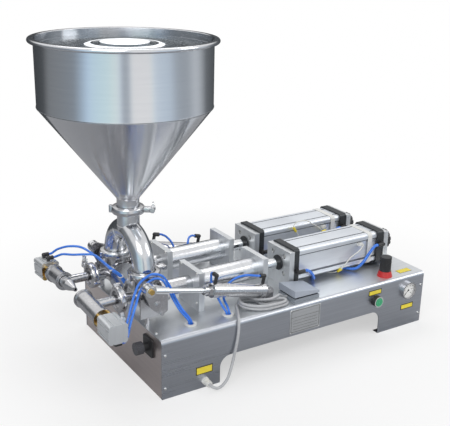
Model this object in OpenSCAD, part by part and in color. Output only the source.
// Double head paste filling machine: two paste cylinders, each driven by an air cylinder,
// fed through rotary valves from one hopper. Lengths in millimetres, degrees for angles.
// The origin is at the middle of the base's underside, X runs from the nozzles to the controls.

/* [Base] */
// Length of the base along X
base_len = 820; // [780:10:900]
// Width of the base along Y
base_wid = 440; // [430:10:500]
// Height of the deck above the table
base_h = 150; // [140:5:180]
// Thickness of the bent sheet
sheet = 2; // [1.5:0.5:3]
// Outer radius of the bends along the deck
bend_r = 10; // [6:1:14]
// Length of the cut-out between the feet
notch_len = 506; // [420:10:540]
// Height of the cut-out between the feet
notch_h = 68; // [50:2:74]
// Corner radius of the cut-out
notch_r = 28; // [15:1:40]
// Width of the flanges that turn in under the feet
lip_w = 18; // [12:1:24]

/* [Hopper] */
// Distance from the base's end to the hopper's axis
hopper_inset = 28; // [24:1:40]
// Outer radius of the hopper's cylinder
hopper_r = 200; // [180:5:220]
// Height of the hopper's cylinder
hopper_cyl_h = 153; // [120:5:200]
// Height of the hopper's cone
hopper_cone_h = 220; // [190:5:260]
// Thickness of the hopper's wall
hopper_wall = 2; // [1.5:0.5:3]
// Radius of the rolled bead at the rim
bead_r = 5; // [3:0.5:6]
// Outer radius of the neck and of the branch pipes
pipe_r = 27; // [25:1:29]
// Wall of the neck and of the branch pipes
pipe_wall = 2; // [1.5:0.5:3]

/* [Heads] */
// Distance between the two heads across the machine
head_pitch = 160; // [156:1:175]
// Height of the cylinder axes above the deck
axis_rise = 58; // [56:1:66]
// Side of the square cylinder plates
plate_w = 100; // [98:1:110]
// Thickness of the cylinder plates
plate_t = 15; // [12:1:18]
// Distance from the valve axis to the first plate
valve_to_plate = 122; // [116:1:135]
// Length of the paste tube between its plates
paste_len = 172; // [166:1:190]
// Outer radius of the paste tube
paste_r = 29; // [27:1:31]
// Wall of the paste tube
paste_wall = 3; // [2:0.5:4]
// Gap between the paste cylinder and the air cylinder
mid_gap = 68; // [64:1:80]
// Length of the air barrel between its caps
barrel_len = 270; // [255:5:285]
// Bore radius of the air barrel
barrel_bore_r = 33; // [30:1:34]
// Side of the square air cylinder caps
cap_w = 94; // [88:1:96]
// Thickness of the front cap
front_cap_t = 18; // [14:1:24]
// Thickness of the rear cap
rear_cap_t = 22; // [16:1:26]
// Radius of the main piston rods
rod_r = 8; // [6:0.5:9]
// Stroke of the pistons
stroke = 130; // [80:5:130]

/* [Valves] */
// Outer radius of the valve barrel
valve_r = 31; // [29:1:33]
// Length of the valve barrel
valve_len = 76; // [70:1:80]
// Bore radius of the valve barrel
valve_bore_r = 23; // [21:1:25]
// Radius of the valve stem
stem_r = 10; // [8:0.5:11]
// Radius from the valve axis to the crank pin
crank_r = 50; // [46:1:54]
// Angle of the crank at rest, from +X towards +Z
crank_angle = 120; // [112:1:124]

/* [Turning cylinders] */
// Distance of the rear pin from the valve axis along X
pin_dx = 302; // [290:1:312]
// Height of the rear pin above the deck
pin_rise = 30; // [26:1:36]
// Distance of the turning cylinder outside the head axis
turn_out = 80; // [78:1:84]
// Outer radius of the turning cylinder's tube
turn_r = 18; // [16:0.5:19]
// Length of the turning cylinder's tube
turn_len = 120; // [110:1:124]
// Radius of the turning cylinder's rod
turn_rod_r = 6; // [5:0.5:7]

/* [Nozzles] */
// Distance from the valve axis to the nozzle axis
nozzle_dx = 138; // [132:1:146]
// Outer radius of the nozzle body
nozzle_r = 20; // [18:0.5:21]
// Side of the nozzle's square air cylinder
block_w = 46; // [42:1:48]
// Length of the nozzle's square air cylinder
block_len = 60; // [54:1:70]
// Travel of the nozzle's plunger
plunger_travel = 10; // [6:1:12]
// Tilt at which the near nozzle is left
near_tilt = 2; // [0:0.5:8]
// Tilt at which the far nozzle is left
far_tilt = 4.5; // [0:0.5:8]

/* [Controls] */
// Radius of the push button's bezel
button_r = 15; // [13:0.5:16]
// Travel of the push button
button_travel = 3; // [2:0.5:3.5]
// Radius of the pressure gauge
gauge_r = 25; // [20:1:28]
// Radius of the regulator's knob
knob_r = 15.5; // [13:0.5:17]
// Length of the foot switch
pedal_len = 78; // [72:1:84]
// Width of the foot switch
pedal_wid = 68; // [62:1:69]
// Height of the foot switch at its high end
pedal_h = 32; // [30:1:36]
// Radius of the foot switch's cable
cable_r = 3.5; // [3:0.25:4]
// Radius of the thin air hoses
hose_r = 3; // [2.5:0.25:3.5]
// Radius of the thick air hoses
hose_big_r = 4; // [3.5:0.25:4]

/* [Hidden] */
$fn = 48;
// Sides of the round edges on small pieces
fn_small = 24;
// Overrun of every cutting shape
over = 1;
// Gap between pieces that move past each other
run_gap = 0.3;
// Radial clearance of shafts, pistons and screws in their bores
fit_gap = 0.05;

// Places that several pieces share
near = -1;
far = 1;
head_y = head_pitch / 2;
deck_z = base_h;
axis_z = deck_z + axis_rise;
hopper_x = hopper_inset - base_len / 2;
paste_x0 = hopper_x + valve_to_plate;
paste_x1 = paste_x0 + plate_t;
paste_x2 = paste_x1 + paste_len;
paste_x3 = paste_x2 + plate_t;
air_x0 = paste_x3 + mid_gap;
air_x1 = air_x0 + plate_t;
air_x2 = air_x1 + front_cap_t;
air_x3 = air_x2 + barrel_len;
air_x4 = air_x3 + rear_cap_t;
air_x5 = air_x4 + plate_t;

// Hopper heights, from the branch pipes up
clamp_z = axis_z + 52;
arch_r = head_y;
ferrule_t = 3;
gasket_t = 2;
joint_t = 2 * ferrule_t + gasket_t;
arch_z = clamp_z + joint_t / 2;
crown_z = arch_z + arch_r;
neck_gap = 25;
neck_joint_z = crown_z + pipe_r + neck_gap;
neck_len = 26;
cone_z = neck_joint_z + joint_t / 2 + neck_len;
seam_z = cone_z + hopper_cone_h;
rim_z = seam_z + hopper_cyl_h;
ledge = 4;
lid_drop = 20;

// Ferrules and clamps: the big size joins the pipes, the small one the nozzles
big_ferrule_r = 32;
small_ferrule_r = 25;
clamp_wall = 7;
clamp_w = 18;
outlet_r = 12;
outlet_wall = 2;
small_joint_x = hopper_x - 66;

// Turning gear: crank pin and rear pin, both seen along Y
stem_y = head_y + turn_out;
crank_t = 8;
sleeve_r = 8;
crank_y = stem_y - sleeve_r - crank_t - run_gap;
pin_x = hopper_x + pin_dx;
pin_z = deck_z + pin_rise;
eye_x = hopper_x + crank_r * cos(crank_angle);
eye_z = axis_z + crank_r * sin(crank_angle);
turn_span = norm([eye_x - pin_x, eye_z - pin_z]);
turn_tilt = atan2(eye_z - pin_z, pin_x - eye_x);

// Pistons
piston_t = 30;
air_piston_t = 25;
end_room = 5;
piston_x = paste_x1 + end_room + stroke;
air_piston_x = air_x2 + end_room + stroke;
coupler_r = 15;
coupler_len = 30;
coupler_x = paste_x3 + 23;
nose_r = 20;
nose_out = 3;
stop_r = 7;

// Directions
module to_x() { rotate([0, 90, 0]) children(); }
module to_y() { rotate([-90, 0, 0]) children(); }
// A near part as it is drawn, or its mirror image on the far side
module on_side(side) { if (side == near) children(); else mirror([0, 1, 0]) children(); }

// Flat shape with two rounded corners at its top, standing on the X axis
module arch_shape(w, h, r) {
    translate([-w / 2, 0]) square([w, h - r]);
    translate([r - w / 2, 0]) square([w - 2 * r, h]);
    for (s = [-1, 1]) translate([s * (w / 2 - r), h - r]) circle(r = r);
}
// Rectangle with four rounded corners around its middle
module round_rect(w, h, r) {
    square([w, h - 2 * r], center = true);
    square([w - 2 * r, h], center = true);
    for (x = [-1, 1], y = [-1, 1])
        translate([x * (w / 2 - r), y * (h / 2 - r)]) circle(r = r, $fn = fn_small);
}
module ring(outer, inner, h) {
    difference() {
        cylinder(r = outer, h = h);
        translate([0, 0, -over]) cylinder(r = inner, h = h + 2 * over);
    }
}
module hex(across_r, h) { cylinder(r = across_r, h = h, $fn = 6); }

// Smooth curve through a list of points, and the tube that follows it
function blend_point(a, b, c, d, t) =
    0.5 * ((2 * b) + (c - a) * t + (2 * a - 5 * b + 4 * c - d) * t * t
    + (3 * b - a - 3 * c + d) * t * t * t);
function smooth_route(p, steps) = let (n = len(p)) [
    for (i = [0 : n - 2], k = [0 : steps - 1])
        blend_point(p[max(i - 1, 0)], p[i], p[i + 1], p[min(i + 2, n - 1)], k / steps),
    p[n - 1]];
function unit(v) = v / norm(v);
function heading(q, i) = unit(q[min(i + 1, len(q) - 1)] - q[max(i - 1, 0)]);
// The ring's first direction is carried along the route, so that the tube doesn't twist
function carry(v, d) = unit(v - (v * d) * d);
function frames(q, i, v) = let (w = carry(v, heading(q, i)))
    i == len(q) - 1 ? [w] : concat([w], frames(q, i + 1, w));
module tube_along(route, r, steps, sides) {
    q = smooth_route(route, steps);
    n = len(q);
    first = abs(heading(q, 0).z) > 0.9 ? [1, 0, 0] : [0, 0, 1];
    f = frames(q, 0, first);
    pts = [for (i = [0 : n - 1], s = [0 : sides - 1])
        let (a = 360 * s / sides, u = f[i], w = cross(heading(q, i), u))
        q[i] + r * (cos(a) * u + sin(a) * w)];
    walls = [for (i = [0 : n - 2], s = [0 : sides - 1])
        let (a = i * sides + s, b = i * sides + (s + 1) % sides)
        each [[a, a + sides, b], [b, a + sides, b + sides]]];
    ends = [[for (s = [0 : sides - 1]) s], [for (s = [sides - 1 : -1 : 0]) (n - 1) * sides + s]];
    polyhedron(points = pts, faces = concat(walls, ends), convexity = 10);
}

// Screws that hold the panels, and the bolts that hold the plates to the deck
m4_r = 2;
m4_head_r = 3.6;
m4_head_h = 2.2;
m4_len = 7;
m8_r = 4;
m8_head_r = 6.5;
m8_head_h = 8;
m8_len = 15;
m6_r = 3;
m6_head_r = 5;
m6_head_h = 6;
lock_nut_r = 12;
lock_nut_h = 8;
hole_gap = 0.2;
panel_screw_in = 9;
panel_screw_z = [27, 112];
panel_flange = 20;
panel_back = 1;
deck_screw_y = 177;
plate_bolt_dy = 34;
face_bolt_d = 24;
face_bolt_in = 8;
face_bore_r = 6.5;
front_bolt_d = 38;
plates_x = [paste_x0, paste_x2, air_x0, air_x4];
module screw(r, head_r, head_h, shank) {
    cylinder(r = head_r, h = head_h, $fn = fn_small);
    translate([0, 0, -shank]) cylinder(r = r, h = shank, $fn = fn_small);
}
module at_panel_screws() {
    for (sx = [-1, 1], sy = [-1, 1], z = panel_screw_z)
        translate([sx * (base_len / 2 - panel_screw_in), sy * base_wid / 2, z])
            rotate([-90 * sy, 0, 0]) children();
}
module at_deck_screws() {
    for (sy = [-1, 1])
        translate([panel_screw_in - base_len / 2, sy * deck_screw_y, deck_z]) children();
}
module at_plate_bolts() {
    for (x = plates_x, side = [near, far], sy = [-1, 1])
        translate([x + plate_t / 2, side * head_y + sy * plate_bolt_dy, deck_z - sheet])
            rotate([180, 0, 0]) children();
}
module at_face_bolts() {
    for (side = [near, far], sy = [-1, 1], sz = [-1, 1])
        translate([air_x0 + face_bolt_in, side * head_y + sy * face_bolt_d,
            axis_z + sz * face_bolt_d]) rotate([0, -90, 0]) children();
}
module at_front_bolts() {
    for (side = [near, far], sy = [-1, 1], sz = [-1, 1])
        translate([paste_x0, side * head_y + sy * front_bolt_d, axis_z + sz * front_bolt_d])
            rotate([0, -90, 0]) children();
}
module screws() {
    color("silver") {
        at_panel_screws() screw(m4_r, m4_head_r, m4_head_h, m4_len);
        at_deck_screws() screw(m4_r, m4_head_r, m4_head_h, m4_len);
        at_plate_bolts() screw(m8_r, m8_head_r, m8_head_h, m8_len);
        at_face_bolts() screw(m6_r, m6_head_r, m6_head_h, plate_t - face_bolt_in);
        at_front_bolts() screw(m4_r, m4_head_r, m4_head_h, m4_len);
        for (side = [near, far]) along_axis(air_x5, side) difference() {
            hex(lock_nut_r, lock_nut_h);
            translate([0, 0, -over]) cylinder(r = stop_r + fit_gap, h = lock_nut_h + 2 * over);
        }
    }
}

// Base cover: one sheet bent over both long edges, with two feet and a lip under each foot
grommet_x = [-310, -206];
grommet_y = 177;
grommet_r = 11;
far_drop = [-374, 4];
button_x = 236;
button_z = 102;
gauge_x = 352;
gauge_z = 107;
regulator_x = 293;
regulator_y = -187;
regulator_hole_r = 12;
gland_x = -295;
gland_z = 18;
gland_hole_r = 8;
gauge_hole_r = gauge_r - 4;
button_hole_r = 11;
hose_drop_x = [120, 196];
lead_drop_x = 158;
module base_cover() {
    color("lightslategray") difference() {
        union() {
            rotate([90, 0, 90]) linear_extrude(height = base_len, center = true) difference() {
                arch_shape(base_wid, base_h, bend_r);
                translate([0, -over])
                    arch_shape(base_wid - 2 * sheet, base_h - sheet + over, bend_r - sheet);
            }
            for (s = [-1, 1]) translate([0, s * (base_wid - lip_w) / 2, sheet / 2])
                cube([base_len - 2 * (panel_back + sheet), lip_w, sheet], center = true);
        }
        translate([0, base_wid / 2 + over, -over]) rotate([90, 0, 0])
            linear_extrude(height = base_wid + 2 * over)
                arch_shape(notch_len, notch_h + over, notch_r);
        at_panel_screws() translate([0, 0, -sheet - over])
            cylinder(r = m4_r + hole_gap, h = sheet + 2 * over);
        at_deck_screws() translate([0, 0, -sheet - over])
            cylinder(r = m4_r + hole_gap, h = sheet + 2 * over);
        at_plate_bolts() translate([0, 0, -sheet - over])
            cylinder(r = m8_r + hole_gap, h = sheet + 2 * over);
        for (x = grommet_x, s = [-1, 1]) deck_hole(x, s * grommet_y, grommet_r);
        deck_hole(far_drop.x, far_drop.y, grommet_r);
        deck_hole(regulator_x, regulator_y, regulator_hole_r);
        for (x = hose_drop_x, s = [near, far]) deck_hole(x, s * head_y, hose_big_r + over);
        deck_hole(lead_drop_x, -head_y, hose_big_r + over);
        side_hole(button_x, button_z, button_hole_r);
        side_hole(gauge_x, gauge_z, gauge_hole_r);
        side_hole(gland_x, gland_z, gland_hole_r);
    }
}
module deck_hole(x, y, r) {
    translate([x, y, deck_z - sheet - over]) cylinder(r = r, h = sheet + 2 * over);
}
module side_hole(x, z, r) {
    translate([x, -base_wid / 2 - over, z]) to_y() cylinder(r = r, h = sheet + 2 * over);
}

// End panels: flat plates inside the cover's ends, with flanges for the side screws
inlet_y = -157;
inlet_z = 112;
inlet_hole_r = 9;
module end_panel() {
    side_w = base_wid - 2 * sheet - 2 * run_gap;
    top = base_h - sheet - run_gap;
    r = bend_r - sheet;
    translate([panel_back - base_len / 2, 0, 0]) {
        rotate([90, 0, 90]) linear_extrude(height = sheet) arch_shape(side_w, top, r);
        for (s = [-1, 1]) translate([sheet, s * (side_w - sheet) / 2 - sheet / 2, sheet])
            cube([panel_flange, sheet, top - r - sheet]);
        translate([sheet, -deck_screw_y - panel_flange / 2, top - sheet])
            cube([panel_flange, 2 * deck_screw_y + panel_flange, sheet]);
        translate([sheet, lip_w - base_wid / 2 + over, 0])
            cube([panel_flange, base_wid - 2 * (lip_w + over), sheet]);
    }
}
module end_panels() {
    color("rosybrown") difference() {
        for (m = [0, 1]) mirror([m, 0, 0]) end_panel();
        at_panel_screws() translate([0, 0, -3 * sheet])
            cylinder(r = m4_r + hole_gap, h = 3 * sheet);
        at_deck_screws() translate([0, 0, -3 * sheet])
            cylinder(r = m4_r + hole_gap, h = 3 * sheet);
        translate([-base_len / 2, inlet_y, inlet_z]) to_x()
            cylinder(r = inlet_hole_r, h = panel_back + 2 * sheet);
    }
}

// Hopper: cylinder with a rolled rim, cone and neck, ending in a ferrule
cone_slant = atan((hopper_r - pipe_r) / hopper_cone_h);
cone_wall = hopper_wall / cos(cone_slant);
module hopper() {
    low = neck_joint_z + gasket_t / 2;
    color("gainsboro") translate([hopper_x, 0, 0]) {
        rotate_extrude($fn = 96) polygon([[hopper_r, rim_z], [hopper_r, seam_z], [pipe_r, cone_z],
            [pipe_r, low], [pipe_r - pipe_wall, low], [pipe_r - pipe_wall, cone_z],
            [hopper_r - cone_wall, seam_z], [hopper_r - hopper_wall, seam_z + cone_wall],
            [hopper_r - hopper_wall, rim_z]]);
        // Rolled bead on its flange, the ledge for the lid, and the ferrule
        translate([0, 0, rim_z - hopper_wall])
            ring(hopper_r + 1.6 * bead_r, hopper_r - hopper_wall / 2, hopper_wall);
        rotate_extrude($fn = 96) translate([hopper_r + 1.6 * bead_r, rim_z - bead_r]) circle(r = bead_r);
        translate([0, 0, rim_z - lid_drop - ledge])
            ring(hopper_r - hopper_wall / 2, hopper_r - hopper_wall - ledge, ledge);
        translate([0, 0, low]) ring(big_ferrule_r, pipe_r - pipe_wall / 2, ferrule_t);
    }
}

// Lid: a shallow spun dish that lies on the ledge inside the mouth, with a raised middle
lid_t = 1.5;
lid_rise = 12;
lid_boss_r = 60;
lid_step_r = 95;
lid_flat_r = 156;
module hopper_lid() {
    edge = hopper_r - hopper_wall - run_gap;
    z0 = rim_z - lid_drop + run_gap;
    outline = [[edge, z0], [lid_flat_r, z0 + lid_rise / 4], [lid_step_r + lid_rise, z0 + lid_rise / 3],
        [lid_step_r, z0 + lid_rise / 6], [lid_boss_r + lid_rise, z0 + lid_rise / 3],
        [lid_boss_r, z0 + lid_rise], [0, z0 + lid_rise]];
    color("whitesmoke") translate([hopper_x, 0, 0]) rotate_extrude($fn = 96)
        polygon(concat(outline, [for (i = [len(outline) - 1 : -1 : 0])
            [outline[i].x, outline[i].y + lid_t]]));
}

// Manifold: half a ring of pipe over both valves, with the feed pipe on its crown
module pipe_ring(r) {
    translate([hopper_x, 0, arch_z]) rotate([90, 0, 90])
        rotate_extrude(angle = 180) translate([arch_r, 0]) circle(r = r);
}
module manifold() {
    color("lightgray") difference() {
        union() {
            pipe_ring(pipe_r);
            translate([hopper_x, 0, crown_z])
                cylinder(r = pipe_r, h = neck_joint_z - gasket_t / 2 - crown_z);
            translate([hopper_x, 0, neck_joint_z - gasket_t / 2 - ferrule_t])
                cylinder(r = big_ferrule_r, h = ferrule_t);
            for (side = [near, far]) translate([hopper_x, side * arch_r, arch_z - ferrule_t])
                cylinder(r = big_ferrule_r, h = ferrule_t);
        }
        pipe_ring(pipe_r - pipe_wall);
        translate([hopper_x, 0, crown_z]) cylinder(r = pipe_r - pipe_wall, h = 3 * pipe_r);
        for (side = [near, far]) translate([hopper_x, side * arch_r, arch_z - ferrule_t - over])
            cylinder(r = pipe_r - pipe_wall, h = ferrule_t + over);
    }
}

// Clamps: a grooved band in two halves, with a hinge block on one side and a bolt on the other
bolt_r = 3.5;
clamp_gap = 0.4;
lug_w = 13;
lug_share = 0.6;
hinge_share = 0.22;
wing_r = 6.5;
wing_out = 8;
hopper_clamp_turn = -33;
branch_clamp_turn = 12;
near_clamp_turn = -20;
far_clamp_turn = 110;
module at_hopper_clamp() {
    translate([hopper_x, 0, neck_joint_z]) rotate([0, 0, hopper_clamp_turn]) children();
}
module at_branch_clamp(side) {
    translate([hopper_x, side * head_y, clamp_z]) rotate([0, 0, branch_clamp_turn]) children();
}
module at_nozzle_clamp(side) {
    translate([small_joint_x, side * head_y, axis_z]) to_x()
        rotate([0, 0, side == near ? near_clamp_turn : far_clamp_turn]) children();
}
module clamp_band(fr) {
    rotate_extrude() polygon([
        [fr + clamp_wall, -clamp_w / 2], [fr + clamp_wall, clamp_w / 2],
        [fr - clamp_wall / 2, clamp_w / 2], [fr - clamp_wall / 2, joint_t / 2 + clamp_gap],
        [fr + clamp_gap, joint_t / 2 + clamp_gap], [fr + clamp_gap, -joint_t / 2 - clamp_gap],
        [fr - clamp_wall / 2, -joint_t / 2 - clamp_gap], [fr - clamp_wall / 2, -clamp_w / 2]]);
}
function bolt_at(fr) = fr + clamp_wall + fr * lug_share;
module clamp(fr) {
    out = fr + clamp_wall;
    hinge = fr * hinge_share;
    difference() {
        union() {
            clamp_band(fr);
            translate([out - over, -lug_w / 2, -clamp_w / 2])
                cube([fr * lug_share + 2 * bolt_r + over, lug_w, clamp_w]);
            translate([-out - hinge, -lug_w / 2, -clamp_w / 2]) cube([hinge + over, lug_w, clamp_w]);
        }
        translate([fr / 2, -clamp_gap, -clamp_w]) cube([2 * fr, 2 * clamp_gap, 2 * clamp_w]);
        translate([bolt_at(fr), -lug_w, 0]) to_y()
            cylinder(r = bolt_r + clamp_gap, h = 2 * lug_w, $fn = fn_small);
    }
    // Bolt across the lugs, its round head away from the wing nut
    translate([bolt_at(fr), -lug_w / 2 - bolt_r, 0]) to_y() {
        cylinder(r = bolt_r, h = 2.5 * lug_w, $fn = fn_small);
        cylinder(r = 2 * bolt_r, h = bolt_r + over, $fn = fn_small);
    }
}
// Wing nut: a sleeve on the bolt with two flat round wings
module wing_nut(fr, turned = 0) {
    translate([bolt_at(fr), lug_w / 2 + clamp_gap, 0]) to_y() rotate(turned) difference() {
        union() {
            cylinder(r = 2 * bolt_r, h = lug_w * 0.9, $fn = fn_small);
            for (s = [-1, 1]) translate([s * wing_out, -bolt_r / 2, wing_r + over]) to_y()
                cylinder(r = wing_r, h = bolt_r, $fn = fn_small);
        }
        translate([0, 0, -over]) cylinder(r = bolt_r + fit_gap, h = 3 * lug_w, $fn = fn_small);
    }
}
module tri_clamps() {
    color("silver") {
        at_hopper_clamp() clamp(big_ferrule_r);
        for (side = [near, far]) {
            at_branch_clamp(side) clamp(big_ferrule_r);
            at_branch_clamp(side) wing_nut(big_ferrule_r);
            at_nozzle_clamp(side) clamp(small_ferrule_r);
        }
    }
}
module clamp_gaskets() {
    color("white") {
        translate([hopper_x, 0, neck_joint_z - gasket_t / 2])
            ring(big_ferrule_r, pipe_r - pipe_wall, gasket_t);
        for (side = [near, far]) {
            translate([hopper_x, side * head_y, clamp_z - gasket_t / 2])
                ring(big_ferrule_r, pipe_r - pipe_wall, gasket_t);
            translate([small_joint_x - gasket_t / 2 + 0.01, side * head_y, axis_z]) to_x()
                ring(small_ferrule_r, outlet_r - outlet_wall, gasket_t - 0.02);
        }
    }
}
module hopper_wing_nut() { color("silver") at_hopper_clamp() wing_nut(big_ferrule_r, 90); }
module nozzle_wing_nut(side) { color("silver") at_nozzle_clamp(side) wing_nut(small_ferrule_r); }

// Plates: eight squares on the deck that carry the paste and the air cylinders
module square_plate(x, side) {
    translate([x, side * head_y - plate_w / 2, deck_z]) cube([plate_t, plate_w, plate_w]);
}
module along_axis(x, side) { translate([x, side * head_y, axis_z]) to_x() children(); }
union_r = 20;
union_wall = 3;
module cylinder_plates() {
    color("lightsteelblue") difference() {
        for (x = plates_x, side = [near, far]) square_plate(x, side);
        for (side = [near, far]) {
            along_axis(paste_x0 - over, side) cylinder(r = union_r - union_wall, h = plate_t + 2 * over);
            along_axis(paste_x2 - over, side) cylinder(r = coupler_r + end_room, h = plate_t + 2 * over);
            along_axis(air_x0 - over, side) cylinder(r = nose_r + fit_gap, h = plate_t + 2 * over);
            along_axis(air_x4 - over, side) cylinder(r = stop_r + run_gap, h = plate_t + 2 * over);
        }
        at_plate_bolts() translate([0, 0, -sheet - m8_len])
            cylinder(r = m8_r + hole_gap, h = sheet + m8_len);
        at_face_bolts() cylinder(r = face_bore_r, h = face_bolt_in + over);
        at_face_bolts() translate([0, 0, face_bolt_in - plate_t - over])
            cylinder(r = m6_r + hole_gap, h = plate_t - face_bolt_in + 2 * over);
        at_front_bolts() translate([0, 0, -m4_len - over])
            cylinder(r = m4_r + hole_gap, h = m4_len + 2 * over);
    }
}

// Paste cylinders: a polished tube between the first two plates of each head
module paste_cylinders() {
    color("gainsboro") for (side = [near, far])
        along_axis(paste_x1, side) ring(paste_r, paste_r - paste_wall, paste_len);
}
// Paste piston: a plastic piston with two lip seals, on the front end of the rod
seal_w = 4;
seal_in = 1.5;
module paste_piston(side) {
    r = paste_r - paste_wall - fit_gap;
    color("white") along_axis(piston_x, side) difference() {
        union() {
            cylinder(r = r - seal_in, h = piston_t);
            for (x = [piston_t / 6, piston_t - piston_t / 6 - seal_w])
                translate([0, 0, x]) cylinder(r = r, h = seal_w);
        }
        translate([0, 0, piston_t / 2]) cylinder(r = rod_r, h = piston_t);
    }
}
// Piston rod with its coupler, lock nut and the air piston
module piston_rod(side) {
    color("silver") {
        along_axis(piston_x + piston_t / 2, side)
            cylinder(r = rod_r, h = air_piston_x + air_piston_t - piston_x - piston_t / 2);
        along_axis(coupler_x, side) cylinder(r = coupler_r, h = coupler_len);
        along_axis(coupler_x - rod_r, side) hex(coupler_r, rod_r + over);
        along_axis(air_piston_x, side) cylinder(r = barrel_bore_r - fit_gap, h = air_piston_t);
    }
}
// Air barrel: a drawn square profile with round corners, two slots in each face for the
// switches, a shallow hollow in each side and a round bore
barrel_wall = 4;
lobe_r = 8;
barrel_half = cap_w / 2 - barrel_wall;
slot_w = 4;
slot_d = 5;
slot_at = 26;
side_hollow = 3;
module air_barrel(side) {
    color("whitesmoke") along_axis(air_x2, side) linear_extrude(height = barrel_len) difference() {
        round_rect(2 * barrel_half, 2 * barrel_half, lobe_r);
        circle(r = barrel_bore_r, $fn = 64);
        for (a = [0 : 90 : 270], s = [-1, 1]) rotate(a)
            translate([barrel_half - slot_d, s * slot_at - slot_w / 2]) square([slot_d + over, slot_w]);
        for (s = [-1, 1]) rotate(s * 90)
            translate([barrel_half - side_hollow, -slot_at]) square([side_hollow + over, 2 * slot_at]);
    }
}
// Caps of the air cylinders, the front ones with a nose through the plate
port_r = 5;
port_len = 8;
module cap_block(t) { linear_extrude(height = t) round_rect(cap_w, cap_w, lobe_r); }
module air_caps() {
    color("darkslategray") for (side = [near, far]) {
        along_axis(air_x1, side) difference() {
            union() {
                cap_block(front_cap_t);
                translate([0, 0, -plate_t - nose_out])
                    cylinder(r = nose_r, h = plate_t + nose_out + over);
            }
            translate([0, 0, -plate_t - nose_out - over])
                cylinder(r = rod_r + fit_gap, h = plate_t + nose_out + front_cap_t + 2 * over);
        }
        along_axis(air_x3, side) difference() {
            cap_block(rear_cap_t);
            translate([0, 0, -over]) cylinder(r = stop_r + fit_gap, h = rear_cap_t + 2 * over);
        }
    }
}
// Stop screw through the rear cap, and the handwheel that turns it
wheel_r = 28;
wheel_t = 16;
wheel_gap = 18;
wheel_notch_r = 4;
module stop_screw(side) {
    x0 = air_piston_x + air_piston_t + run_gap;
    color("dimgray") along_axis(x0, side)
        cylinder(r = stop_r, h = air_x5 + wheel_gap + wheel_t / 2 - x0);
}
module handwheel(side) {
    color("black") along_axis(air_x5 + wheel_gap, side) difference() {
        cylinder(r = wheel_r, h = wheel_t);
        translate([0, 0, -over]) cylinder(r = stop_r + fit_gap, h = wheel_t / 2 + over + run_gap);
        for (a = [0 : 30 : 330]) rotate(a) translate([wheel_r + wheel_notch_r / 2, 0, -over])
            cylinder(r = wheel_notch_r, h = wheel_t + 2 * over, $fn = fn_small);
    }
}

// Rotary valve: barrel across the machine, with ports to the pipe, the cylinder and the nozzle
valve_cap_t = 7;
valve_cap_r = valve_r + 4;
union_nut_r = 30;
union_nut_w = 20;
small_tube_x = small_joint_x + gasket_t / 2;
port_hole_r = 16;
module valve_bore(r, h) {
    translate([hopper_x, -head_y - h / 2, axis_z]) to_y() cylinder(r = r, h = h);
}
module valve_body(side) {
    stem_hole = stem_r + fit_gap;
    color("silver") on_side(side) difference() {
        union() {
            valve_bore(valve_r, valve_len);
            for (y = [-valve_len / 2 - valve_cap_t, valve_len / 2])
                translate([hopper_x, y - head_y, axis_z]) to_y()
                    cylinder(r = valve_cap_r, h = valve_cap_t);
            translate([hopper_x, -head_y, axis_z])
                cylinder(r = pipe_r, h = clamp_z - gasket_t / 2 - axis_z);
            translate([hopper_x, -head_y, clamp_z - gasket_t / 2 - ferrule_t])
                cylinder(r = big_ferrule_r, h = ferrule_t);
            along_axis(hopper_x, near) cylinder(r = union_r, h = paste_x0 - hopper_x);
            along_axis(hopper_x + valve_cap_r + over, near) cylinder(r = union_nut_r, h = union_nut_w);
            along_axis(small_tube_x, near) cylinder(r = outlet_r, h = hopper_x - small_tube_x);
            along_axis(small_tube_x, near) cylinder(r = small_ferrule_r, h = ferrule_t);
        }
        valve_bore(valve_bore_r, valve_len);
        translate([hopper_x, -head_y - valve_len, axis_z]) to_y()
            cylinder(r = stem_hole, h = valve_len);
        translate([hopper_x, -head_y, axis_z]) cylinder(r = port_hole_r, h = clamp_z - axis_z);
        translate([hopper_x, -head_y, axis_z + valve_r])
            cylinder(r = pipe_r - pipe_wall, h = clamp_z - axis_z);
        along_axis(hopper_x, near) cylinder(r = union_r - union_wall, h = paste_x0 - hopper_x + over);
        along_axis(small_tube_x - over, near)
            cylinder(r = outlet_r - outlet_wall, h = hopper_x - small_tube_x + over);
    }
}
// Valve spool: half cut away between two full discs, with the stem towards the crank
spool_disc = 8;
module valve_spool(side) {
    half = valve_len / 2 - fit_gap;
    r = valve_bore_r - fit_gap;
    color("darkgray") on_side(side) translate([hopper_x, -head_y, axis_z]) {
        difference() {
            translate([0, -half, 0]) to_y() cylinder(r = r, h = 2 * half);
            translate([-r / 3, spool_disc - half, -2 * r])
                cube([2 * r, 2 * (half - spool_disc), 4 * r]);
        }
        translate([0, -crank_y + head_y, 0]) to_y()
            cylinder(r = stem_r, h = crank_y - head_y - half);
        translate([0, -crank_y + head_y - crank_t, 0]) to_y() cylinder(r = stem_r * 0.7, h = crank_t);
    }
}
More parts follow.
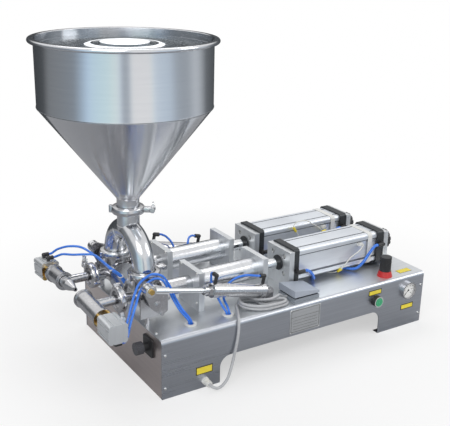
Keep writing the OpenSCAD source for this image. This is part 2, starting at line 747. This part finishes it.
// Crank plate with its screw into the stem, in the plane behind the rod eye
crank_corner_shares = [[0.4, 0.64], [0.4, -0.36], [0.18, -0.5]];
corner_r = 5;
eye_r = 14;
stem_land_r = 18;
bolt_head_r = 7;
bolt_head_h = 5;
module crank(side) {
    color("silver") on_side(side) translate([hopper_x, -crank_y, axis_z]) rotate([90, 0, 0]) {
        difference() {
            linear_extrude(height = crank_t) hull() {
                circle(r = stem_land_r, $fn = 32);
                translate([eye_x - hopper_x, eye_z - axis_z]) circle(r = eye_r, $fn = 32);
                for (c = crank_corner_shares) translate(crank_r * c) circle(r = corner_r, $fn = 32);
            }
            translate([0, 0, -over]) cylinder(r = stem_r * 0.7, h = crank_t + 2 * over);
        }
        translate([0, 0, crank_t]) cylinder(r = bolt_head_r + run_gap, h = run_gap + over);
        translate([0, 0, crank_t + run_gap + over]) hex(bolt_head_r, bolt_head_h);
        translate(crank_r * crank_corner_shares[2]) translate([0, 0, crank_t - over])
            hex(corner_r, bolt_head_h);
    }
}

// Turning cylinder, drawn along its own axis from the rear pin towards the crank
turn_tail = 12;
tail_w = 10;
turn_cap_t = 14;
turn_front_t = 22;
nose_hex_r = 15;
nose_len = 22;
turn_bore_r = turn_r - 2;
pin_r = 4;
elbow_r = 5.5;
elbow_len = 13;
turn_elbow_h = 26;
nozzle_elbow_h = 13;
front_elbow_share = 0.7;
module at_turn_axis() {
    translate([pin_x, -stem_y, pin_z]) rotate([0, turn_tilt - 90, 0]) children();
}
tube_u0 = turn_tail + turn_cap_t;
tube_u1 = tube_u0 + turn_len;
cap_u1 = tube_u1 + turn_front_t;
// Push-in elbow on its stem, its mouth along +Y
module elbow(h) {
    cylinder(r = elbow_r * 0.8, h = h - elbow_r, $fn = fn_small);
    translate([0, 0, h - elbow_r]) sphere(r = elbow_r, $fn = fn_small);
    translate([0, 0, h - elbow_r]) to_y() cylinder(r = elbow_r, h = elbow_len, $fn = fn_small);
}
module turn_cylinder(side) {
    tail_r = turn_tail * 0.7;
    color("lightgray") on_side(side) at_turn_axis() {
        difference() {
            union() {
                translate([0, 0, turn_tail]) cylinder(r = turn_r, h = turn_cap_t);
                translate([0, tail_w / 2, 0]) rotate([90, 0, 0]) cylinder(r = tail_r, h = tail_w);
                translate([-tail_r, -tail_w / 2, 0]) cube([2 * tail_r, tail_w, turn_tail + over]);
                translate([0, 0, tube_u0 - over]) cylinder(r = turn_r - over, h = turn_len + 2 * over);
                translate([0, 0, tube_u1]) cylinder(r = turn_r, h = turn_front_t);
                translate([0, 0, cap_u1 - over]) hex(nose_hex_r, nose_len * 0.6);
                translate([0, 0, cap_u1 - over]) cylinder(r = nose_hex_r * 0.75, h = nose_len + over);
            }
            translate([0, tail_w, 0]) rotate([90, 0, 0]) cylinder(r = pin_r + fit_gap, h = 2 * tail_w);
            translate([0, 0, tube_u0]) cylinder(r = turn_bore_r, h = turn_len);
            translate([0, 0, tube_u0])
                cylinder(r = turn_rod_r + fit_gap, h = turn_len + turn_front_t + nose_len + over);
        }
        // The rear elbow looks along the tube; the front one looks inwards, or back on the far side
        translate([turn_r - over, 0, turn_tail + turn_cap_t / 2]) rotate([0, 90, 0]) rotate(90)
            elbow(turn_elbow_h);
        translate([turn_r - over, 0, tube_u1 + turn_front_t * front_elbow_share])
            rotate([0, 90, 0]) rotate(side == near ? 0 : -90) elbow(turn_elbow_h);
    }
}
// Rod of the turning cylinder with its piston, sleeve, eye and pin
sleeve_len = 34;
turn_piston_t = 12;
turn_piston_u = tube_u1 - turn_piston_t - over;
washer_r = 11;
module turn_rod(side) {
    color("silver") on_side(side) at_turn_axis() {
        translate([0, 0, turn_piston_u]) cylinder(r = turn_rod_r, h = turn_span - eye_r - turn_piston_u);
        translate([0, 0, turn_piston_u]) cylinder(r = turn_bore_r - fit_gap, h = turn_piston_t);
        translate([0, 0, turn_span - eye_r - sleeve_len]) cylinder(r = sleeve_r, h = sleeve_len + over);
        translate([0, turn_rod_r, turn_span]) rotate([90, 0, 0]) cylinder(r = eye_r, h = 2 * turn_rod_r);
        translate([0, sleeve_r, turn_span]) rotate([90, 0, 0]) cylinder(r = washer_r, h = sleeve_r);
        translate([0, -turn_rod_r, turn_span]) rotate([90, 0, 0]) {
            cylinder(r = washer_r, h = over);
            translate([0, 0, over]) hex(bolt_head_r, bolt_head_h);
        }
    }
}
// Brackets: support plate and post at each valve, clevis with its pin at each rear end
ear_t = 4;
ear_gap = 0.5;
foot_w = 34;
foot_t = 5;
foot_out = 2.5;
support_x0_share = 0.72;
support_t = 6;
post_r = 6;
module valve_bracket() {
    // Support plate behind the crank, held by the valve's outer cover
    y0 = head_y + valve_len / 2 + valve_cap_t;
    difference() {
        translate([hopper_x - valve_cap_r, -y0 - support_t, axis_z - valve_cap_r - foot_t])
            cube([2 * valve_cap_r * support_x0_share, support_t, valve_cap_r + foot_t + stem_r]);
        translate([hopper_x, -y0 - support_t - over, axis_z]) to_y()
            cylinder(r = stem_r + run_gap, h = support_t + 2 * over);
    }
    translate([hopper_x - valve_cap_r / 2, -y0 - support_t / 2, deck_z])
        cylinder(r = post_r, h = axis_z - valve_cap_r - foot_t - deck_z);
    // Clevis: foot plate, two ears and the pin
    ear_y = tail_w / 2 + ear_gap;
    translate([pin_x - foot_w / 2, -stem_y - ear_y - ear_t - foot_out, deck_z])
        cube([foot_w, 2 * (ear_y + ear_t + foot_out), foot_t]);
    for (s = [-1, 1]) translate([pin_x, -stem_y + s * (ear_y + ear_t / 2), 0]) difference() {
        union() {
            translate([-foot_w * 0.35, -ear_t / 2, deck_z]) cube([foot_w * 0.7, ear_t, pin_z - deck_z]);
            translate([0, -ear_t / 2, pin_z]) to_y() cylinder(r = foot_w * 0.35, h = ear_t, $fn = 32);
        }
        translate([0, -ear_t, pin_z]) to_y() cylinder(r = pin_r + fit_gap, h = 2 * ear_t, $fn = 32);
    }
    translate([pin_x, -stem_y - ear_y - ear_t - foot_out, pin_z]) to_y() {
        cylinder(r = pin_r, h = 2 * (ear_y + ear_t + foot_out), $fn = 32);
        cylinder(r = pin_r * 1.5, h = foot_out - fit_gap, $fn = 32);
    }
}
module valve_brackets() {
    color("darkgray") for (side = [near, far]) on_side(side) valve_bracket();
}

// Nozzle, drawn with its air cylinder outwards (towards -Y) from the outlet pipe's axis
nozzle_x = hopper_x - nozzle_dx;
ring_s = 64;
ring_t = 8;
ring_r = 23;
post_len = 20;
block_s = ring_s + ring_t + post_len;
nozzle_wall = 5;
plunger_r = 5;
near_body_s = -38;
far_body_s = 2;
spout_r = 14;
spout_len = 36;
cone_len = 34;
tip_r = 5;
tip_len = 5;
tip_bore_r = 2.5;
disc_t = 5;
stub_len = 10;
module at_nozzle(side) {
    on_side(side) translate([nozzle_x, -head_y, axis_z])
        rotate([side == near ? near_tilt : far_tilt, 0, 0]) children();
}
module out_y() { rotate([90, 0, 0]) children(); }
module nozzle_body(side) {
    s0 = side == near ? near_body_s : far_body_s;
    joint_x = small_joint_x - gasket_t / 2 - nozzle_x;
    color("silver") at_nozzle(side) difference() {
        union() {
            translate([0, -s0, 0]) out_y() cylinder(r = nozzle_r, h = ring_s - s0);
            translate([0, -ring_s, 0]) out_y() cylinder(r = ring_r, h = ring_t);
            translate([0, -s0 + disc_t, 0]) out_y() cylinder(r = ring_r, h = disc_t);
            to_x() cylinder(r = outlet_r - over, h = joint_x);
            translate([joint_x - ferrule_t, 0, 0]) to_x()
                cylinder(r = small_ferrule_r, h = ferrule_t);
            if (side == far) translate([0, -s0 + disc_t, 0]) rotate([-90, 0, 0]) {
                cylinder(r = spout_r, h = spout_len - disc_t);
                translate([0, 0, spout_len - disc_t]) cylinder(r1 = spout_r, r2 = tip_r, h = cone_len);
                translate([0, 0, spout_len + cone_len - disc_t]) cylinder(r = tip_r, h = tip_len);
            }
            if (side == near) translate([0, -s0 + disc_t, 0]) rotate([-90, 0, 0])
                cylinder(r = tip_r + 2 * over, h = stub_len);
        }
        translate([0, -ring_s + over, 0]) rotate([-90, 0, 0])
            cylinder(r = nozzle_r - nozzle_wall, h = ring_s - s0 - over + (side == far ? disc_t : 0));
        translate([0, -ring_s - ring_t - over, 0]) rotate([-90, 0, 0])
            cylinder(r = plunger_r + fit_gap, h = 2 * ring_t + 2 * over);
        translate([0, -s0, 0]) rotate([-90, 0, 0]) {
            translate([0, 0, -over]) cylinder(r = tip_bore_r, h = 2 * (spout_len + cone_len));
            if (side == far) cylinder(r = spout_r - nozzle_wall, h = spout_len - disc_t);
        }
        to_x() cylinder(r = outlet_r - over - outlet_wall, h = joint_x + over);
    }
}
// Air cylinder of the nozzle: square block on four brass posts, with two fittings
port_s_shares = [0.222, 0.76467];
block_edge_r = 7;
block_slot_w = 3;
block_slot_d = 2;
block_slot_at = 11;
module nozzle_cylinder(side) {
    post_d = ring_r * 0.55;
    color("lightsteelblue") at_nozzle(side) {
        translate([0, -block_s, 0]) out_y() difference() {
            linear_extrude(height = block_len) difference() {
                round_rect(block_w, block_w, block_edge_r);
                for (a = [0 : 90 : 270], s = [-1, 1]) rotate(a)
                    translate([block_w / 2 - block_slot_d, s * block_slot_at - block_slot_w / 2])
                        square([block_slot_d + over, block_slot_w]);
            }
            translate([0, 0, -over]) cylinder(r = plunger_r + fit_gap, h = 2 * barrel_wall + over);
            translate([0, 0, 2 * barrel_wall - over])
                cylinder(r = block_w / 2 - 2 * barrel_wall, h = block_len - 4 * barrel_wall + over);
        }
        for (x = [-1, 1], z = [-1, 1]) translate([x * post_d, -ring_s - ring_t, z * post_d])
            out_y() cylinder(r = barrel_wall, h = post_len, $fn = fn_small);
        for (s = port_s_shares)
            translate([0, -block_s - block_len * s, side * (block_w / 2 - over)])
                rotate([side == near ? 180 : 0, 0, 0]) rotate(-90) elbow(nozzle_elbow_h + over);
    }
}
// Plunger of the nozzle: shut-off rod with the air piston inside the block
module nozzle_plunger(side) {
    seat = side == near ? near_body_s : far_body_s + disc_t - spout_len;
    s0 = seat + run_gap + plunger_travel;
    s1 = block_s + block_len / 2;
    color("white") at_nozzle(side) {
        translate([0, -s0, 0]) out_y() cylinder(r = plunger_r, h = s1 - s0);
        translate([0, -s1, 0]) out_y()
            cylinder(r = block_w / 2 - 2 * barrel_wall - fit_gap, h = 2 * barrel_wall);
        translate([0, -seat - run_gap, 0]) out_y()
            cylinder(r1 = tip_bore_r, r2 = plunger_r + 2 * over, h = plunger_travel + over);
    }
}

// Speed fittings on the air caps, on the side towards the operator
fit_drop = 12;
module speed_fitting() {
    // Body screwed into the cap, drawn towards -Y, with a knurled adjuster and a hose mouth
    out_y() {
        hex(port_r * 1.3, port_len);
        translate([0, 0, port_len]) cylinder(r = port_r, h = port_len, $fn = fn_small);
    }
    translate([0, -1.5 * port_len, 0]) to_x() {
        cylinder(r = port_r, h = 2.4 * port_len, $fn = fn_small);
    }
}
module flow_fittings() {
    color("gray") for (side = [near, far]) {
        y = side * head_y - cap_w / 2;
        translate([air_x1 + front_cap_t / 2, y, axis_z - fit_drop]) speed_fitting();
        translate([air_x3 + rear_cap_t / 2, y, axis_z + fit_drop]) mirror([1, 0, 0]) speed_fitting();
    }
}
// Sensor bands around the barrels, each with two switches on its near side
band_w = 14;
band_t = 2;
band_gap = 18;
switch_h = 8;
switch_out = 6.6;
module cylinder_sensors() {
    half = barrel_half + fit_gap;
    color("ghostwhite") for (side = [near, far])
        translate([air_x3 - band_gap - band_w, side * head_y, axis_z]) {
            difference() {
                to_x() linear_extrude(height = band_w)
                    round_rect(2 * (half + band_t), 2 * (half + band_t), lobe_r + band_t);
                translate([-over, 0, 0]) to_x() linear_extrude(height = band_w + 2 * over)
                    round_rect(2 * half, 2 * half, lobe_r);
            }
            translate([-2 * band_gap, -barrel_half - switch_out, 2 * switch_h])
                cube([band_w, switch_out + side_hollow - fit_gap, switch_h]);
        }
}

// Push button in its bezel, with the contact block behind the panel
cap_r = button_r - 3;
bezel_h = 14;
contact_w = 30;
contact_len = 40;
spring_room = 2;
module at_button() { translate([button_x, -base_wid / 2, button_z]) rotate([90, 0, 0]) children(); }
module push_button() {
    color("mediumseagreen") at_button() {
        translate([0, 0, bezel_h - 3 * button_travel])
            cylinder(r = cap_r - run_gap, h = 3 * button_travel + over);
        translate([0, 0, button_travel + spring_room - bezel_h])
            cylinder(r = cap_r / 3, h = 2 * bezel_h - 4 * button_travel - spring_room + over);
    }
}
module button_housing() {
    color("dimgray") at_button() {
        difference() {
            union() {
                cylinder(r = button_r, h = bezel_h);
                translate([0, 0, -bezel_h - over])
                    cylinder(r = button_hole_r - fit_gap, h = bezel_h + 2 * over);
            }
            translate([0, 0, bezel_h - 4 * button_travel - over / 2])
                cylinder(r = cap_r, h = 5 * button_travel);
            translate([0, 0, -bezel_h]) cylinder(r = cap_r / 3 + run_gap, h = 3 * bezel_h);
        }
        translate([-contact_w / 2, -contact_w / 2, -bezel_h - contact_len])
            cube([contact_w, contact_w, contact_len]);
    }
}
// Regulator: red collar on the deck, body under it, knob on top
collar_r = 21;
collar_h = 15;
knob_h = 40;
flute_r = 1.4;
module regulator_body() {
    color("crimson") translate([regulator_x, regulator_y, deck_z]) difference() {
        union() {
            cylinder(r1 = collar_r, r2 = knob_r + over, h = collar_h);
            translate([0, 0, -sheet - over])
                cylinder(r = regulator_hole_r - fit_gap, h = sheet + 2 * over);
            translate([-contact_w / 2, -contact_w / 2, -sheet - 1.5 * contact_len])
                cube([contact_w, contact_w, 1.5 * contact_len]);
        }
        translate([0, 0, collar_h / 2]) cylinder(r = knob_r / 2 + fit_gap, h = collar_h);
    }
}
module regulator_knob() {
    color("black") translate([regulator_x, regulator_y, deck_z]) {
        translate([0, 0, collar_h + run_gap]) difference() {
            cylinder(r = knob_r, h = knob_h - run_gap);
            for (a = [0 : 15 : 345]) rotate(a) translate([knob_r + flute_r / 2, 0, collar_h / 2])
                cylinder(r = flute_r, h = knob_h, $fn = fn_small);
        }
        translate([0, 0, collar_h / 2 + run_gap]) cylinder(r = knob_r / 2, h = collar_h / 2 + over);
    }
}
// Pressure gauge: case with its bezel in front of the panel, dial and needle inside
bezel_t = 9;
bezel_rim = 3;
dial_z = 3;
needle_t = 0.8;
module at_gauge() { translate([gauge_x, -base_wid / 2, gauge_z]) rotate([90, 0, 0]) children(); }
module gauge_case() {
    color("gainsboro") at_gauge() {
        difference() {
            union() {
                cylinder(r = gauge_r, h = bezel_t);
                translate([0, 0, -contact_w])
                    cylinder(r = gauge_hole_r - fit_gap, h = contact_w + over);
            }
            translate([0, 0, dial_z]) cylinder(r = gauge_r - bezel_rim, h = bezel_t);
            translate([0, 0, dial_z - 2 * over]) cylinder(r = over + fit_gap, h = 3 * over);
        }
        translate([0, 0, -contact_w - 2 * port_len]) hex(2 * port_r, 2 * port_len);
    }
}
module gauge_needle() {
    color("black") at_gauge() translate([0, 0, dial_z + run_gap]) {
        translate([0, 0, -over]) cylinder(r = over, h = over + run_gap, $fn = fn_small);
        cylinder(r = 2 * bezel_rim / 3, h = 2 * needle_t, $fn = fn_small);
        rotate(225) translate([-bezel_rim, -needle_t / 2, 0])
            cube([gauge_r - 2 * bezel_rim + bezel_rim, needle_t, needle_t]);
    }
}
// Air inlet valve on the end panel, with its knob
inlet_w = 46;
inlet_t = 5;
inlet_neck_r = 10;
inlet_neck_len = 14;
inlet_knob_r = 15;
inlet_knob_len = 18;
module at_inlet() {
    translate([panel_back - base_len / 2, inlet_y, inlet_z]) rotate([0, -90, 0]) children();
}
module inlet_valve() {
    color("black") at_inlet() {
        linear_extrude(height = inlet_t) round_rect(inlet_w, inlet_w, m8_r);
        translate([0, 0, inlet_t]) cylinder(r = inlet_neck_r, h = inlet_neck_len);
        translate([0, 0, -2 * contact_w]) cylinder(r = inlet_hole_r - fit_gap, h = 2 * contact_w + over);
        translate([0, 0, inlet_t + inlet_neck_len]) cylinder(r = port_r, h = inlet_knob_len / 2);
    }
}
module inlet_knob() {
    color("black") at_inlet() translate([0, 0, inlet_t + inlet_neck_len + run_gap]) difference() {
        cylinder(r = inlet_knob_r, h = inlet_knob_len);
        translate([0, 0, -over]) cylinder(r = port_r + fit_gap, h = inlet_knob_len / 2 + 2 * over);
        for (a = [0 : 20 : 340]) rotate(a) translate([inlet_knob_r + flute_r / 2, 0, -over])
            cylinder(r = flute_r, h = inlet_knob_len + 2 * over, $fn = fn_small);
    }
}

// Foot switch: steel tray with its switch, and the pedal cover hinged at its low end
pedal_x = -29;
pedal_y = -208;
tray_h = 10;
tray_t = 2;
pedal_low_h = 20;
pedal_gap = 4;
hinge_r = 3;
hinge_in = 8;
pedal_t = 2;
module foot_switch_base() {
    color("slategray") translate([pedal_x, pedal_y, deck_z]) {
        difference() {
            cube([pedal_len, pedal_wid, tray_h]);
            translate([tray_t, tray_t, tray_t])
                cube([pedal_len - 2 * tray_t, pedal_wid - 2 * tray_t, tray_h]);
            translate([-over, pedal_wid / 2, cable_r + tray_t + over]) to_x()
                cylinder(r = cable_r + hole_gap, h = 3 * tray_t + over);
        }
        // Switch body with its lever, and the pin of the pedal on two posts
        translate([pedal_len / 3, pedal_wid / 4, tray_t]) cube([pedal_len / 4, pedal_wid / 3, tray_h]);
        for (y = [hinge_in, pedal_wid - hinge_in - 2 * tray_t])
            translate([pedal_len - hinge_in - hinge_r - tray_t, y, tray_t]) difference() {
                cube([2 * (hinge_r + tray_t), 2 * tray_t, tray_h + 2 * hinge_r - tray_t]);
                translate([hinge_r + tray_t, -over, tray_h + pedal_gap + hinge_r - tray_t]) to_y()
                    cylinder(r = hinge_r / 2 + fit_gap, h = 2 * tray_t + 2 * over, $fn = fn_small);
            }
    }
}
module pedal_outline(t) {
    polygon([[t, tray_h + pedal_gap - t], [pedal_len - t, tray_h + pedal_gap - t],
        [pedal_len - t, pedal_low_h - t], [t, pedal_h - t]]);
}
module foot_pedal() {
    color("lightsteelblue") translate([pedal_x, pedal_y, deck_z]) {
        difference() {
            translate([0, pedal_wid, 0]) rotate([90, 0, 0]) linear_extrude(height = pedal_wid)
                pedal_outline(0);
            translate([0, pedal_wid - pedal_t, 0]) rotate([90, 0, 0])
                linear_extrude(height = pedal_wid - 2 * pedal_t) pedal_outline(pedal_t);
        }
        // Pin through the posts, held by a small block inside each side wall
        for (y = [pedal_t - over, pedal_wid - 2 * pedal_t])
            translate([pedal_len - hinge_in - hinge_r, y, tray_h + pedal_gap])
                cube([2 * hinge_r, pedal_t + over, 2 * hinge_r]);
        translate([pedal_len - hinge_in, pedal_t, tray_h + pedal_gap + hinge_r]) to_y()
            cylinder(r = hinge_r / 2, h = pedal_wid - 2 * pedal_t, $fn = fn_small);
    }
}

// Cable gland in the side panel, and the grommets in the deck
gland_r = 10;
gland_len = 22;
grommet_t = 3;
grommet_lip = 3;
module grommet(r) {
    difference() {
        union() {
            cylinder(r = r + grommet_lip, h = grommet_t);
            translate([0, 0, -sheet - grommet_t])
                cylinder(r = r - fit_gap, h = sheet + grommet_t + over);
        }
        translate([0, 0, -2 * grommet_t - sheet]) cylinder(r = r - grommet_lip, h = 6 * grommet_t);
    }
}
module glands() {
    color("white") {
        translate([gland_x, -base_wid / 2, gland_z]) rotate([90, 0, 0]) difference() {
            union() {
                hex(gland_r, gland_len / 3);
                translate([0, 0, gland_len / 3]) cylinder(r = gland_r * 0.8, h = gland_len * 2 / 3);
                translate([0, 0, -gland_len / 2])
                    cylinder(r = gland_hole_r - fit_gap, h = gland_len / 2 + over);
            }
            translate([0, 0, gland_len / 3]) cylinder(r = cable_r + fit_gap, h = gland_len);
        }
        for (x = grommet_x, s = [-1, 1]) translate([x, s * grommet_y, deck_z]) grommet(grommet_r);
        translate([far_drop.x, far_drop.y, deck_z]) grommet(grommet_r);
    }
}

// Inside the base: the bank of solenoid valves and the electric box, hung under the deck
bank_x = -215;
bank_y = 0;
bank_w = 24;
bank_len = 70;
bank_h = 34;
bank_n = 5;
rail_t = 16;
module solenoid_valves() {
    top = deck_z - sheet;
    color("dimgray") translate([bank_x, bank_y, 0]) {
        translate([0, -bank_len / 2, top - rail_t]) cube([bank_n * bank_w, bank_len, rail_t]);
        for (k = [0 : bank_n - 1])
            translate([k * bank_w + over, -bank_len / 2 - over, top - rail_t - bank_h])
                cube([bank_w - 2 * over, bank_len + 2 * over, bank_h]);
    }
}
box_x = 60;
box_y = -45;
box_len = 150;
box_w = 90;
box_h = 62;
module control_box() {
    color("gray") translate([box_x, box_y, deck_z - sheet - box_h]) difference() {
        cube([box_len, box_w, box_h]);
        translate([sheet, sheet, sheet])
            cube([box_len - 2 * sheet, box_w - 2 * sheet, box_h - 2 * sheet]);
    }
}

// Hoses that stay still: from the four caps, under the barrels and down through the deck
hose_steps = 3;
hose_sides = 8;
front_hose = [[53.5, -139, 196], [64, -139, 195], [80, -136, 182], [94, -129, 163],
    [104, -110, 156], [114, -92, 156], [120, -80, 148], [120, -80, 120]];
rear_hose = [[304.5, -139, 220], [294, -139, 219], [276, -139, 202], [256, -138, 178],
    [240, -128, 160], [222, -104, 156], [200, -84, 156], [196, -80, 146], [196, -80, 120]];
module air_hoses() {
    color("royalblue") for (side = [near, far]) translate([0, (side + 1) * head_y, 0]) {
        tube_along(front_hose, hose_big_r, hose_steps, hose_sides);
        tube_along(rear_hose, hose_big_r, hose_steps, hose_sides);
    }
}
// Hoses that bend when a nozzle or a turning cylinder moves, each down to its grommet
nozzle_hoses = [
    [[-506.7, -216.7, 172.7], [-498, -216, 173], [-488, -208, 178], [-477, -196, 193],
     [-463, -182, 210], [-447, -168, 229], [-424, -142, 245], [-402, -134, 258], [-380, -130, 264],
     [-360, -130, 256], [-347, -134, 234], [-337, -138, 208], [-326, -156, 180], [-314, -174, 160],
     [-314, -177, 140]],
    [[-506.7, -184.2, 173.8], [-498, -184, 175], [-485, -181, 181], [-473, -175, 194],
     [-459, -164, 218], [-443, -151, 243], [-422, -132, 259], [-400, -125, 269], [-379, -121, 272],
     [-355, -123, 262], [-340, -130, 236], [-330, -137, 208], [-320, -154, 182], [-308, -172, 160],
     [-306, -177, 140]],
    [[-506.2, 219.9, 227.6], [-499, 219.5, 228.2], [-491.5, 214, 235.5], [-484, 205, 243], [-468, 180, 255], [-450, 145, 262],
     [-438, 112, 258], [-433, 70, 254], [-430, 36, 251], [-427, 2, 246], [-412, -8, 232],
     [-398, -6, 208], [-384, -2, 182], [-378, 4, 158], [-378, 4, 140]],
    [[-506.2, 187.4, 230.1], [-500, 187, 230.6], [-494.5, 178.5, 236], [-488, 164, 243], [-474, 132, 250], [-455, 104, 257],
     [-440, 76, 262], [-435, 36, 258], [-431, -2, 253], [-414, -15, 238], [-396, -14, 210],
     [-380, -8, 182], [-370, 3, 158], [-370, 4, 140]]];
turn_hoses = [
    [[-229.7, -146.7, 251], [-229, -138, 250], [-228, -132, 242], [-226, -130, 222],
     [-224, -135, 205], [-221, -150, 190], [-214, -165, 168], [-210, -176, 156], [-210, -177, 140]],
    [[-103.6, -160, 223.6], [-115, -159, 226], [-141, -150, 229], [-168, -142, 222],
     [-190, -135, 200], [-198, -142, 180], [-201, -166, 165], [-202, -176, 153],
     [-202, -177, 140]],
    [[-216.2, 160, 248.2], [-211, 160, 247.8], [-204.5, 158.5, 244.8], [-197, 154, 240], [-188, 140, 226], [-184, 133, 204],
     [-188, 140, 184], [-197, 160, 168], [-209, 173, 157], [-210, 177, 140]],
    [[-103.75, 160, 223.63], [-114, 160, 226], [-128, 152, 224], [-140, 138, 212], [-150, 133, 192],
     [-164, 140, 172], [-184, 159, 160], [-200, 173, 156], [-202, 177, 140]]];
module flex_hoses() {
    color("royalblue") for (r = concat(nozzle_hoses, turn_hoses))
        tube_along(r, hose_r, hose_steps, hose_sides);
}
// Leads of the cylinder switches, down through one hole in the deck
lead_r = 1.5;
lead_routes = [
    [[259, -131.8, 228], [242, -136, 215], [213, -135, 200], [192, -128, 172], [188, -113, 157],
     [175, -104, 153], [161, -92, 154], [156, -82, 149], [156, -80, 130]],
    [[262, 30, 222], [244, 25, 219], [225, 25, 235], [202, 25, 249], [183, 25, 261], [151, 25, 264],
     [138, 25, 254], [142, 25, 241], [160, 24, 215], [172, 14, 180], [172, -10, 156],
     [166, -50, 153], [161, -74, 152], [160, -80, 146], [160, -80, 130]]];
module sensor_leads() {
    color("whitesmoke") for (r = lead_routes) tube_along(r, lead_r, hose_steps, hose_sides);
}

// Cable of the foot switch: from the gland up over the deck's edge, in loops, to the switch
cable_route = [
    [-295, -232, 18], [-295, -244, 18], [-293, -252, 16], [-282, -257, 12], [-264, -251, 12],
    [-246, -243, 20], [-234, -236, 34], [-224, -230, 52], [-215, -227, 80], [-209, -226, 108],
    [-206, -225, 130], [-204, -221.5, 149], [-198, -211, 155], [-190, -196, 154], [-176, -172, 154],
    [-166, -152, 154], [-150, -140, 154], [-128, -137, 154], [-110, -150, 154], [-106, -168, 154],
    [-95, -182, 154], [-66, -181, 154], [-48, -186, 154], [-44, -197, 154], [-56, -206, 154],
    [-84, -207, 154], [-114, -204, 154], [-142, -190, 155], [-160, -168, 158], [-158, -148, 161.5],
    [-140, -138, 162], [-118, -143, 162], [-104, -162, 162], [-92, -179, 162], [-68, -183, 162],
    [-52, -189, 162], [-50, -199, 162], [-62, -206, 162], [-88, -206, 162], [-118, -202, 162],
    [-146, -186, 163], [-162, -166, 166.5], [-154, -148, 170], [-138, -143, 170], [-126, -153, 167.5],
    [-119, -168, 166.5], [-106, -183, 169], [-88, -189, 169.5], [-66, -183, 169.5], [-54, -177, 168],
    [-42, -174.5, 160.5], [-34, -174, 156.5], [-27, -174, 156.5]];
cable_steps = 2;
module foot_cable() {
    color("darkgray") tube_along(cable_route, cable_r, cable_steps, hose_sides);
}

base_cover();
end_panels();
screws();
hopper();
hopper_lid();
manifold();
tri_clamps();
clamp_gaskets();
hopper_wing_nut();
nozzle_wing_nut(near);  // near_nozzle_wing_nut
nozzle_wing_nut(far);  // far_nozzle_wing_nut
cylinder_plates();
paste_cylinders();
paste_piston(near);  // near_paste_piston
paste_piston(far);  // far_paste_piston
piston_rod(near);  // near_piston_rod
piston_rod(far);  // far_piston_rod
air_barrel(near);  // near_air_barrel
air_barrel(far);  // far_air_barrel
air_caps();
stop_screw(near);  // near_stop_screw
stop_screw(far);  // far_stop_screw
handwheel(near);  // near_handwheel
handwheel(far);  // far_handwheel
valve_body(near);  // near_valve_body
valve_body(far);  // far_valve_body
valve_spool(near);  // near_valve_spool
valve_spool(far);  // far_valve_spool
crank(near);  // near_crank
crank(far);  // far_crank
turn_cylinder(near);  // near_turn_cylinder
turn_cylinder(far);  // far_turn_cylinder
turn_rod(near);  // near_turn_rod
turn_rod(far);  // far_turn_rod
valve_brackets();
nozzle_body(near);  // near_nozzle_body
nozzle_body(far);  // far_nozzle_body
nozzle_cylinder(near);  // near_nozzle_cylinder
nozzle_cylinder(far);  // far_nozzle_cylinder
nozzle_plunger(near);  // near_nozzle_plunger
nozzle_plunger(far);  // far_nozzle_plunger
flow_fittings();
cylinder_sensors();
push_button();
button_housing();
regulator_body();
regulator_knob();
gauge_case();
gauge_needle();
inlet_valve();
inlet_knob();
foot_switch_base();
foot_pedal();
glands();
solenoid_valves();
control_box();
air_hoses();
flex_hoses();
sensor_leads();
foot_cable();
